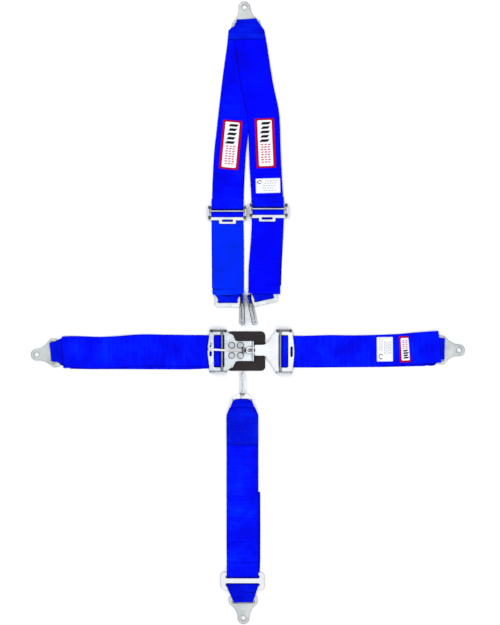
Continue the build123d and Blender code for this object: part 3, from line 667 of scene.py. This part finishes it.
def border(name, width, height, sides, place, base, body):
    """Embroidered border: a band that swells between an outer and an inner rounded rectangle."""
    outer = rounded_outline(width, height, 2.0)
    inner = rounded_outline(width - 2 * sides, height - 2 * PATCH_ENDS, 3.2)
    n, steps = len(outer), 7
    layers = []
    for k in range(steps):
        t = k / (steps - 1)
        z = base + BORDER_UP * (0.25 + 0.75 * math.sin(math.pi * t) ** 0.5)
        layers.append(np.column_stack([place(outer + (inner - outer) * t), np.full(n, z)]))
    layers.append(np.column_stack([place(inner), np.full(n, base)]))
    layers.append(np.column_stack([place(outer), np.full(n, base)]))
    points = np.concatenate(layers)
    points[:, 2] += rise(points[:, 0], points[:, 1])
    faces = []
    for r in range(len(layers)):
        here, beyond = r * n, (r + 1) % len(layers) * n
        for k in range(n):
            faces.append((here + k, here + (k + 1) % n, beyond + (k + 1) % n, beyond + k))
    obj = add_mesh(name, points * MM, faces, RED_BORDER, points[:, :2] * MM)
    place_on(obj, body)


def slanted_bar(x, y, width, height, lean):
    """Outline of a leaning bar with its centre at x, y."""
    corners = [(-width / 2 - lean, -height / 2), (width / 2 - lean, -height / 2)]
    corners += [(width / 2 + lean, height / 2), (-width / 2 + lean, height / 2)]
    points = []
    for k, (px, py) in enumerate(corners):
        qx, qy = corners[(k + 1) % 4]
        points += [(x + px + (qx - px) * i / 4, y + py + (qy - py) * i / 4) for i in range(4)]
    return np.array(points)


def label_cloth(name, outline, place, base, height, slot, body):
    """White cloth of a label, which stands for the CAD node of that name."""
    obj = island_piece(name + "_cloth", [outline], place, base, height, LABEL_CLOTH, slot, body)
    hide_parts(name)


def patch(name, place, size, base, body, sides=7.0):
    """Bordered label: white cloth and red embroidered border."""
    width, height = size
    outline = rounded_outline(width - 2, height - 2, 2.0)
    label_cloth(name, outline, place, base, 0.5, "label_bordered", body)
    border(name + "_border", width, height, sides, place, base, body)


# ------------ scene set-up

SOFTBOX_SIDE_M = 3.0


def softbox(name, energy, location):
    """Square area light that points at the middle of the harness."""
    data = bpy.data.lights.new(name, "AREA")
    data.energy = energy
    data.shape = "RECTANGLE"
    data.size = data.size_y = SOFTBOX_SIDE_M
    obj = bpy.data.objects.new(name, data)
    obj.location = location
    obj.rotation_euler = (-Vector(location)).to_track_quat("-Z", "Y").to_euler()
    bpy.context.scene.collection.objects.link(obj)


SENSOR_MM = 36
VIEW_HEIGHT_M = 1.5
CAMERA_UP_M = 3.5
camera_data = bpy.data.cameras.new("camera")
camera_data.lens = SENSOR_MM * CAMERA_UP_M / VIEW_HEIGHT_M
camera = bpy.data.objects.new("camera", camera_data)
camera.location = (0.005, 0.0005, CAMERA_UP_M)
bpy.context.scene.collection.objects.link(camera)
bpy.context.scene.camera = camera
bpy.context.scene.view_settings.view_transform = "Standard"

softbox("key_softbox", 60, (-2.2, 3.0, 3.6))
softbox("fill_softbox", 32, (3.6, -1.6, 2.6))

world = bpy.data.worlds.new("studio")
world.use_nodes = True
bpy.context.scene.world = world
sky = world.node_tree
direction = axes(sky, node(sky, "ShaderNodeTexCoord").outputs["Generated"])
leaning = math_node(sky, "ADD", direction[2], math_node(sky, "MULTIPLY", direction[1], -0.12))
sky_color = ramp(sky, leaning, [(0.0, (0.017, 0.018, 0.022)), (0.9, (0.97, 0.985, 1.0)),
                                (0.35, (0.12, 0.13, 0.155)), (0.64, (0.34, 0.37, 0.42))])
background = sky.nodes["Background"]
sky.links.new(sky_color, background.inputs["Color"])
background.inputs["Strength"].default_value = 1.75

floor_mat = new_material("floor_white", (0.95, 0.945, 0.945), 0.9, specular=0.1)[0]
floor_corners = [(-6, -6, 0), (6, -6, 0), (6, 6, 0), (-6, 6, 0)]
floor = add_mesh("floor", floor_corners, [(0, 1, 2, 3)], floor_mat, smooth=False)


# ------------ metal parts from the frame

METALS = {
    BRACKET_METAL: ("left_lap_bracket", "right_lap_bracket", "shoulder_bracket", "sub_bracket"),
    CHEEK_METAL: ("left_adjuster", "right_adjuster"),
    BRIGHT_METAL: ("left_adjuster_rod", "right_adjuster_rod", "left_shoulder_link", "right_shoulder_link"),
    STEM_METAL: ("sub_link",),
    PALE_PLATE: ("sub_adjuster",),
    LATCH_METAL: ("latch_base",),
    LINK_METAL: ("lap_link",),
    RIVET_METAL: ("latch_rivets",),
    LEVER_METAL: ("latch_lever",),
    BAR_METAL: ("lever_pin", "left_lap_bar", "right_lap_bar"),
}
BEVELS = {
    "latch_base": 0.5, "lap_link": 0.5, "left_shoulder_link": 0.6, "right_shoulder_link": 0.6,
    "sub_link": 0.6, "latch_lever": 0.6,
}
for mat, names in METALS.items():
    for name in names:
        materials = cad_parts[name].data.materials
        materials.clear()
        materials.append(mat)
for name, width in BEVELS.items():
    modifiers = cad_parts[name].modifiers
    modifiers.new("weld", "WELD").merge_threshold = 1e-5
    edge = modifiers.new("edge", "BEVEL")
    edge.width = width * MM
    edge.segments = 2
    edge.limit_method = "ANGLE"
    edge.angle_limit = math.radians(40)
    edge.harden_normals = True


# ------------ lap straps

WINDOW_TOP = 5.5
LEFT_FEED = ((-110, -92, 0), (-400, -92, 0))
RIGHT_FEED = ((120, -92, 0), (400, -92, 0))

left_lap = flat_line(
    [(-425, -96.6), (-380, -97.6), (-300, -97.3), (-200, -97.9), (-130, -98), (-100, -96), (-53, -92.5)],
    [(-430, LAYER_A), (-84, LAYER_A), (-78, 2.6), (-70, 2.8), (-64, LAYER_A), (-50, LAYER_A)], 0)
strap("left_lap_webbing", left_lap, ("latch", "left_lap"),
      "left_lap_strap", LEFT_FEED)

left_tail = flat_line(
    [(-444.3, -95), (-430, -93.5), (-400, -94.2), (-368, -96), (-340, -95.9), (-300, -93.2), (-265, -89.9),
     (-240, -89.6), (-200, -90.7), (-140, -91.4), (-53, -92)],
    [(-445, LAYER_C + 0.3), (-428, LAYER_C + 0.2), (-410, LAYER_B), (-84, LAYER_B), (-79, 4.6),
     (-72, WINDOW_TOP), (-68, 5.0), (-63, LAYER_B + 0.2), (-50, LAYER_B)], 0)
strap("left_tail_webbing", left_tail, ("latch", "left_tail"),
      "left_lap_tail", LEFT_FEED, ends=(bowed(0.6, 0, -0.4), None))

right_lap = flat_line(
    [(425, -90.0), (400, -90.4), (330, -92.2), (240, -92.8), (160, -93.6), (71, -93.2)],
    [(430, LAYER_A), (100, LAYER_A), (95, 2.6), (86, 2.8), (80, LAYER_A), (70, LAYER_A)], 0)
strap("right_lap_webbing", right_lap, ("link", "right_lap"),
      "right_lap_strap", RIGHT_FEED)

right_tail = flat_line(
    [(439.5, -82.8), (405, -85), (376, -88.3), (350, -89.7), (300, -91.6), (240, -92.5), (200, -91.3),
     (140, -93.5), (71, -92.8)],
    [(445, LAYER_B), (99, LAYER_B), (95, 4.4), (88, WINDOW_TOP), (83.5, 5.0), (79, LAYER_B + 0.2),
     (70, LAYER_B)], 0)
strap("right_tail_webbing", right_tail, ("link", "right_tail"),
      "right_lap_tail", RIGHT_FEED)

# The sewn-back layer at the right end lies over the tail and the loop
turnback = flat_line(
    [(387.5, -87.0), (405, -85.1), (430, -83.3), (459, -81.2)],
    [(380, LAYER_C), (436, LAYER_C + 0.2), (449, 7.9), (460, 8.1)], 0)
strap("right_lap_turnback", turnback, ("right_lap", "right_anchor"),
      bend=((440, -88, 0), (453, -88, 0)), ends=(None, bowed(0.0, 0.6, 1.6)))


def bracket_loop(end_name, bolt, turn, bodies, start, end, hinge, under, over, top=8.0, reach=35.6,
                 on_top=LAYER_B):
    """Webbing that comes up through a bracket's slot and folds back over its bar. under and over give
    (u, width, shift, twist) for the layer below the bracket and the layer above it."""
    below = [(start, LAYER_A), (66, LAYER_A), (57, LAYER_A), (46, LAYER_A), (41.6, 1.3), (39.0, 4.2)]
    above = [(reach, 6.2), (reach + 1.0, top - 0.3), (reach + 4.4, top), (45, 7.1), (53.8, 6.2), (58, 4.6),
             (63, on_top + 0.2), (end, on_top)]
    rows = wrapped_line(bolt, turn, fold_points(below, under) + fold_points(above, over))
    bend = [(*along_turn(bolt, turn, u), 0) for u in hinge]
    strap(end_name + "_loop", rows, bodies, end_name + "_neck", bend,
          mat=WEBBING_PAINTED_SHADE)


bracket_loop("left_lap", (-506.6, -100.6), 6.0, ("left_lap", "left_anchor"), 84, 92, (62, 53),
             [(34, 43, -3, 0), (48, 54, -1.5, 0), (62, 68, 1.5, 0), (72, WEB, 2.5, 0)],
             [(33, 43, -3, 0), (48, 50, -2.5, 0), (62, 64, -0.5, 0), (72, 72, 1.5, 0)], reach=33.8)
bracket_loop("right_lap", (506.6, -90.2), 178.6, ("right_lap", "right_anchor"), 84, 64.5, (63, 53),
             [(34, 48, 2, 0), (46, 50, 1, 0), (54, 68, -1, 0), (60, WEB, -1.5, 0), (84, WEB, 0, 0)],
             [(33, 50, 3, 0), (48, 54, 2, 0), (68, 66, 0, 0)])


# ------------ shoulder straps

left_shoulder = flat_line(
    [(-8.2, 674, 77), (-11.6, 640), (-20.6, 577.7), (-29.9, 500.9), (-37.6, 430), (-42.9, 385.7),
     (-46.1, 328.1), (-48.2, 270.5), (-48.6, 225), (-47.4, 155.3), (-47.4, 57)], LAYER_B, 1)
right_shoulder = flat_line(
    [(3.0, 674, 73), (8.2, 635.3), (19.6, 558.5), (27.2, 520.1), (36.2, 484), (38.8, 455), (39.8, 404.9),
     (42.0, 347.3), (44.4, 308.9), (47.6, 251.3), (47.1, 200), (42.3, 136.1), (38.8, 98), (39.4, 66.5)],
    LAYER_C, 1)
left_lower = flat_line([(-48.2, 60), (-48.8, 120), (-49.2, 180), (-49.4, 226)], LAYER_A, 1)
right_lower = flat_line([(41.8, 66), (43.4, 120), (46.4, 180), (48.2, 231)], LAYER_A, 1)

strap("left_shoulder_webbing", left_shoulder, "shoulders",
      "left_shoulder_strap", mat=WEBBING_LEFT)
strap("right_shoulder_webbing", right_shoulder, "shoulders",
      "right_shoulder_strap", mat=WEBBING_LESS_SHEEN)
strap("left_lower_webbing", left_lower, "left_lower", "left_lower_strap", mat=WEBBING_MORE_SHEEN)
strap("right_lower_webbing", right_lower, "right_lower", "right_lower_strap", mat=WEBBING_LESS_SHEEN)


# ------------ crotch strap

crotch_strap = flat_line(
    [(-13.4, -252), (-13.2, -320), (-13.2, -430), (-13.2, -560), (-12.4, -630), (-11.9, -650, 73),
     (-11.5, -668, 64)], LAYER_B, 1)
strap("sub_webbing", crotch_strap, "crotch", "sub_strap")
crotch_tail = flat_line(
    [(-8.6, -430), (-8, -520), (-8.4, -600), (-9.4, -645, 72), (-10, -664, 62)], LAYER_A, 1)
strap("sub_tail_webbing", crotch_tail, "crotch", "sub_tail")


# ------------ loops through links and brackets

bracket_loop("shoulder", SHOULDER_BOLT, SHOULDER_TURN, ("shoulders", "shoulder_anchor"), 86, 77, (67, 57),
             [(28, 46, 0, 0), (41.5, 47, 0, 0), (45, 66, 1.5, -3), (48, 78, 1.2, -6), (55, 84, 0.6, -6),
              (66, 82, 0, -6), (86, WEB, 0, -6)],
             [(28, 45, -0.8, -2), (41.6, 55.4, -4.7, -4), (44, 57.5, -5.2, -5), (48, 76, 0.6, -6),
              (56, 84.5, 0.2, -6), (66, 86.5, 1.2, -6), (77, 88, 2.5, -6)],
             top=9.4, reach=29.5, on_top=LAYER_D)


def link_loop(side, origin, turn, shift, twist, end):
    """Webbing that narrows and folds round the bar of a shoulder link, then lines up with its strap."""
    heights = [(43, LAYER_A), (36, LAYER_A), (28, LAYER_A), (15, LAYER_A), (11.4, 1.2), (8.8, 4.2),
               (5.6, 5.8), (6.2, 7.5), (9.5, 8.0), (14, 7.2), (24.6, 6.2), (30, 4.4), (36, LAYER_B),
               (end, LAYER_B)]
    widths = [(5, 44.5, 0, 0), (14, 47, 0, 0), (24.6, 60, shift * 0.45, twist * 0.5),
              (38, 74, shift, twist), (50, WEB, shift * 1.1, twist)]
    rows = wrapped_line(origin, turn, fold_points(heights, widths))
    bend = [(*along_turn(origin, turn, u), 0) for u in (38, 28)]
    strap(side + "_link_loop", rows, (side + "_lower", side + "_link"),
          side + "_link_neck", bend, mat=WEBBING_PAINTED_SHADE)


link_loop("left", (-48.1, 18.5), 90.0, 0, 0, 37)
link_loop("right", (40.6, 25.1), 102.5, 7.0, -12.5, 44)

LEFT_FLAP = [(42, 8.0), (46, 7.3), (50, 6.0), (54.5, 4.4), (57, 2.9)]
LEFT_FLAP_BEND = ((-48, 56, 0), (-48, 46, 0))
RIGHT_FLAP = [(45, 8.4), (49, 7.9), (54, 6.2), (60, 5.2), (66, LAYER_C)]
RIGHT_FLAP_BEND = ((41, 64, 0), (41, 53, 0))
left_flap = flat_line([(-47.8, 57.2), (-47.2, 50), (-46.6, 42, 75)], LEFT_FLAP, 1)
strap("left_lower_flap", left_flap, ("left_lower", "left_link"),
      bend=LEFT_FLAP_BEND, ends=(None, bowed(-1.5, 2.2, -4.0)), mat=WEBBING_MORE_SHEEN)
right_flap = flat_line([(39.4, 66.3), (39.2, 58), (39.0, 45.5)], RIGHT_FLAP, 1)
strap("right_lower_flap", right_flap, ("right_lower", "right_link"),
      bend=RIGHT_FLAP_BEND, ends=(None, bowed(0.2, 0.8, -0.2)), mat=WEBBING_LESS_SHEEN)

crotch_loop = wrapped_line((CROTCH_X, -203.0), -90.0, [
    (62, LAYER_A, WEB), (43, LAYER_A, 76), (34, LAYER_A, 66), (24, LAYER_A, 55, 0, 0, 1),
    (13, LAYER_A, 47, 0, 0, 3), (9.4, 1.2, 46, 0, 0, 4), (6.8, 4.2, 46, 0, 0, 4.6),
    (3.6, 5.9, 46, 0, 0, 4.8), (4.2, 7.6, 46, 0, 0, 4.8), (8.0, 9.2, 49, 0, 0, 4.4),
    (14, 11.0, 53, 0, 0, 3), (20, 11.2, 57, 0, 0, 2), (23, 10.2, 60, 0, 0, 1.5),
    (24.2, 6.2, 61.5, 0, 0, 1.2), (27, 5.8, 65, 0, 0, 0.5), (31, 6.4, 67), (36, LAYER_C + 0.5, 71),
    (42, LAYER_C, WEB), (113.5, LAYER_C, WEB)])
strap("crotch_loop", crotch_loop, ("crotch", "crotch_link"), "sub_link_neck",
      ((CROTCH_X, -252, 0), (CROTCH_X, -242, 0)), mat=WEBBING_PAINTED_SHADE)

crotch_end = wrapped_line((-10.6, -732.4), 91.0, [
    (66, LAYER_A, 66), (57, LAYER_A, 60), (46, LAYER_A, 51), (42.6, 1.3, 48), (40.4, 4.2, 47),
    (38.6, 6.0, 46.5), (39.8, 7.6, 47), (43.0, 7.8, 49), (48, 7.0, 53), (54, 6.3, 57.5), (61.6, 6.1, 63.5)])
strap("crotch_end_loop", crotch_end, ("crotch", "crotch_anchor"), "sub_neck",
      ((-11.4, -668, 0), (-11.2, -676, 0)), mat=WEBBING_PAINTED_SHADE)


# ------------ webbing that humps over the adjusters

def hump(points):
    """Rows x, y, z, width from points of a short straight stretch of webbing."""
    return softened(evenly(np.array(points, float)), HUMP_SOFT, range(4))


def adjuster_humps(side, x, y, top):
    """The webbing each side of the rod of a shoulder adjuster: it dives before the rod and swells after."""
    over = top + WEB_T / 2
    dive = ((34, -0.6), (24, 0.3), (16, 2.4), (11.6, 2.9), (8.9, 1.4), (8.2, 0))
    swell = ((6.9, 0), (5.9, 1.3), (2.6, 1.8), (-4.5, 1.7), (-8.4, 1.2), (-9.5, 0.2))
    for kind, profile in (("_dive_webbing", dive), ("_swell_webbing", swell)):
        rows = hump([(x, y + ahead, over + lift, WEB) for ahead, lift in profile])
        strap(side + kind, rows, side + "_lower", waves=False)


adjuster_humps("left", -49.2, LEFT_ADJUSTER[1], B_TOP)
adjuster_humps("right", 47.9, RIGHT_ADJUSTER[1], C_TOP)

upper_hump = hump([(-12.7, y, z, WEB) for y, z in (
    (-600, 3.6), (-610, 4.3), (-618, 6.2), (-622.5, 7.6), (-628, 7.7), (-631.6, 6.4), (-633.6, 4.4),
    (-634.6, 3.2))])
strap("slide_upper_webbing", upper_hump, "crotch_slide", waves=False)
lower_hump = hump([
    (-12.6, -648.7, 3.4, 79), (-12.6, -650.4, 4.6, 78.5), (-12.5, -653.4, 6.8, 77), (-12.4, -657, 7.7, 74),
    (-12.1, -663.5, 7.6, 69), (-11.9, -667, 6.7, 66.5), (-11.6, -670.7, 6.1, 63.6)])
strap("slide_lower_webbing", lower_hump, ("crotch_slide", "crotch"),
      bend=((-12, -664.5, 0), (-12, -670.5, 0)), waves=False, mat=WEBBING_PAINTED_SHADE)


# ------------ labels

MARKS_UP = 0.42
LAP_PATCH = placed((377.0, -87.4), 3.0)
LAP_TAG = (placed((328.3, -87.6), 0.5), 38.5, 58.5)
SHOULDER_TAG = (placed((48.2, 304.4), 1.5), 58.5, 35.0)


def marks_on(name, place, base, body, bars, lines):
    """Plain black bars and fine pink dashes, as (x, y, width, height, lean)."""
    island_piece(name + "_bars", [slanted_bar(*bar) for bar in bars], place, base + MARKS_UP, 0.45,
                 BLACK_BARS, "label_bordered", body, rings=(1.0, 0.9, 0.5))
    island_piece(name + "_lines", [slanted_bar(*line) for line in lines], place, base + MARKS_UP, 0.4,
                 PINK_LINES, "label_bordered", body, rings=(1.0, 0.8))


def shoulder_patch(side, centre, turn, base, height):
    name = side + "_shoulder_patch"
    place = placed(centre, turn)
    patch(name, place, (47.0, height), base, "shoulders")
    top = height / 2 - PATCH_ENDS
    bars = [(3.0 - 1.2 * k, top - 7.0 - 10.4 * k, 20 - 3 * (k % 2), 6.2, 2.4) for k in range(5)]
    lines = [(x + 0.7 * math.sin(2.1 * k + column), -3.5 - 6.0 * k, 5.8 - (k + column) % 2, 2.9, 0.9)
             for column, x in enumerate((-8.2, 0.0, 8.2)) for k in range(8)]
    marks_on(name, place, base, "shoulders", bars, lines)


shoulder_patch("left", (-41.4, 402.5), -5.3, B_TOP, 118.0)
shoulder_patch("right", (41.6, 406.4), 2.4, C_TOP, 119.0)

patch("lap_patch", LAP_PATCH, (27.5, 63.0), B_TOP, "right_tail", sides=4.6)
marks_on("lap_patch", LAP_PATCH, B_TOP, "right_tail",
         [(1.4 - 0.8 * (k % 2), -20.5 + 5.6 * k, 12 - 2 * (k % 2), 3.8, 1.5) for k in range(4)],
         [(x, 2.6 + 4.4 * k, 4.6, 2.2, 0.5) for x in (-3.6, 3.6) for k in range(5)])


def tag(name, label, base, body, mark, rows, upright):
    """Plain white label with a small ring, given by centre and half sizes, and rows of faint dashes."""
    place, *size = label
    label_cloth(name, rounded_outline(*size, 1.2), place, base, 0.55, "label_white", body)
    x, y, across, up = mark
    turns = [math.radians(40 + 29 * k) for k in range(10)]
    ring = [slanted_bar(x + across * math.cos(a), y + up * math.sin(a), 2.4, 2.0, 0.2) for a in turns]
    faint = []
    for r, (x, y) in enumerate(rows):
        for k in range(5):
            step, dash = (k - 2) * 6.2, 4.8 - (k + r) % 2
            shape = (x, y + step, 1.5, dash) if upright else (x + step, y, dash, 1.5)
            faint.append(slanted_bar(*shape, 0.0))
    island_piece(name + "_ring", ring, place, base + 0.5, 0.22, GREY_MARKS, "label_white", body,
                 rings=(1.0, 0.6))
    island_piece(name + "_lines", faint, place, base + 0.5, 0.2, FAINT_MARKS, "label_white", body,
                 rings=(1.0, 0.6))


tag("lap_tag", LAP_TAG, B_TOP, "right_tail", (-9.5, -17.5, 4.4, 5.6),
    [(-12, 12), (-7, 10), (0, 4), (5, 2), (10, 4), (14.5, 4)], True)
tag("shoulder_tag", SHOULDER_TAG, C_TOP, "shoulders", (-20.0, 9.0, 5.2, 3.4),
    [(8, 11), (6, 6), (3, 0), (0, -5.5), (4, -11)], False)


# ------------ sewing

SEAM_IN = 1.5
THREAD_UP = 0.08
BOX_HALF = 31.0
BOX_TOP, BOX_MIDDLE, BOX_LOW = -256.0, -285, -313.5

for name, (place, width, height), top, body in (
        ("tag_stitching", LAP_TAG, B_TOP, "right_tail"),
        ("shoulder_tag_stitching", SHOULDER_TAG, C_TOP, "shoulders")):
    x, y = width / 2 - SEAM_IN, height / 2 - SEAM_IN
    corners = place(np.array([(-x, -y), (x, -y), (x, y), (-x, y), (-x, -y)]))
    stitches(name, [[(*corner, top + 0.62) for corner in corners]], body, WHITE_THREAD,
             2.6, (1.9, 0.6, 0.4))

left, right = CROTCH_X - BOX_HALF, CROTCH_X + BOX_HALF
frame_run = [(left, BOX_TOP), (right, BOX_TOP), (right, BOX_LOW), (left, BOX_LOW), (left, BOX_TOP)]
zigzag = [(left + 2 * BOX_HALF * k / 6, BOX_TOP if k % 2 else BOX_LOW) for k in range(7)]
crossing = [(left, BOX_MIDDLE), (right, BOX_MIDDLE)]
box = [[(x, y, C_TOP + THREAD_UP) for x, y in run] for run in (frame_run, zigzag, crossing)]
stitches("crotch_box_stitching", box, "crotch")

# Sewing at the top fold, which also stands in as painted shade for the dark band below the fold's edge
top_z = D_TOP + THREAD_UP
top_rows = [[(*along_turn(SHOULDER_BOLT, SHOULDER_TURN, u, shift), top_z) for shift in (half, -half)]
            for u, half in ((66.0, 32), (70.5, 34), (75.0, 34))]
stitches("shoulder_top_stitching_and_shade", top_rows, "shoulders")

turnback_z = C_TOP + THREAD_UP
turnback_rows = [[(x, -123.5, turnback_z), (x + 0.6, -50.5, turnback_z)] for x in (390.6, 394.4)]
stitches("right_turnback_stitching", turnback_rows, "right_lap")

hem_z = C_TOP + 0.3
hem_rows = [[(x, -129.0, hem_z), (x + 0.4, -57.5, hem_z)] for x in (-433.5, -429.5)]
stitches("left_hem_stitching", hem_rows, "left_tail")


def flap_hem_and_shade(side, points, profile, bend):
    """Sewing along the end of a flap whose height follows a profile in y; it also stands in as painted
    shade for the dark line under the flap's edge.
    """
    knots = np.array(profile)
    run = [(x, y, np.interp(y, knots[:, 0], knots[:, 1]) + WEB_T / 2 + 0.05) for x, y in points]
    stitches(side + "_flap_hem_and_shade", [run], (side + "_lower", side + "_link"), bend=bend)


flap_hem_and_shade("left", [(-81, 47.4), (-66, 46.0), (-48, 45.0), (-30, 47.0), (-13, 50.4)], LEFT_FLAP,
         LEFT_FLAP_BEND)
flap_hem_and_shade("right", [(3, 49.2), (39, 48.4), (75, 49.4)], RIGHT_FLAP, RIGHT_FLAP_BEND)


# ------------ buckle pad

pad_low, pad_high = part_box("buckle_pad")
pad_place = placed(((pad_low.x + pad_high.x) / 2 / MM, (pad_low.y + pad_high.y) / 2 / MM), 0.0)
pad_width, pad_length = (pad_high.x - pad_low.x) / MM, (pad_high.y - pad_low.y) / MM
pad = island_piece("buckle_pad_felt", [rounded_outline(pad_width, pad_length, 10.0, 10, 12)], pad_place,
                   0.0, 3.75, PAD, "pad", "latch", rings=(1.0, 0.99, 0.975, 0.955, 0.8, 0.6, 0.4, 0.2),
                   edge=0.55)
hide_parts("buckle_pad")
pad_seam = pad_place(rounded_outline(pad_width - 8, pad_length - 8, 7.0))
stitches("pad_stitching", [[(*point, 3.8) for point in pad_seam]], "latch", DARK_THREAD, 3.2,
         (2.2, 0.7, 0.35))
